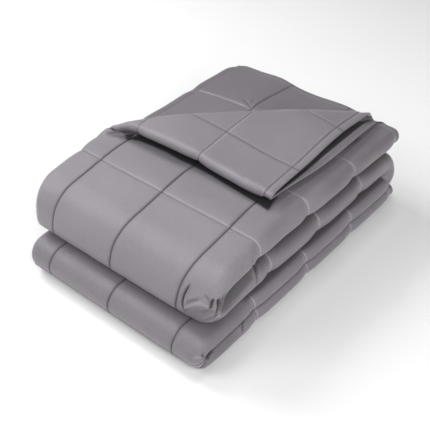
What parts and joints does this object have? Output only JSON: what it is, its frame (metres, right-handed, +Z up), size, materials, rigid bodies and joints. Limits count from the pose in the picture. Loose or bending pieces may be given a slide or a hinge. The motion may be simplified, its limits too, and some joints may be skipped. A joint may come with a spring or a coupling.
{
  "type": "weighted blanket",
  "caption": "Quilted grey weighted blanket, folded into a soft flat pile with rounded front folds and one top corner turned back.",
  "frame": {"origin": "bottom centre of the folded pile", "axes": "+Z up, -Y towards the two rounded front folds, +Y towards the open hems, -X towards the open layer ends"},
  "size_m": [0.3694, 0.5363, 0.1878],
  "materials": {
    "cotton": "plain woven cotton, grey, with a faint sheen"
  },
  "bodies": {
    "root": {"weighted_blanket": "cotton"}
  },
  "joints": []
}
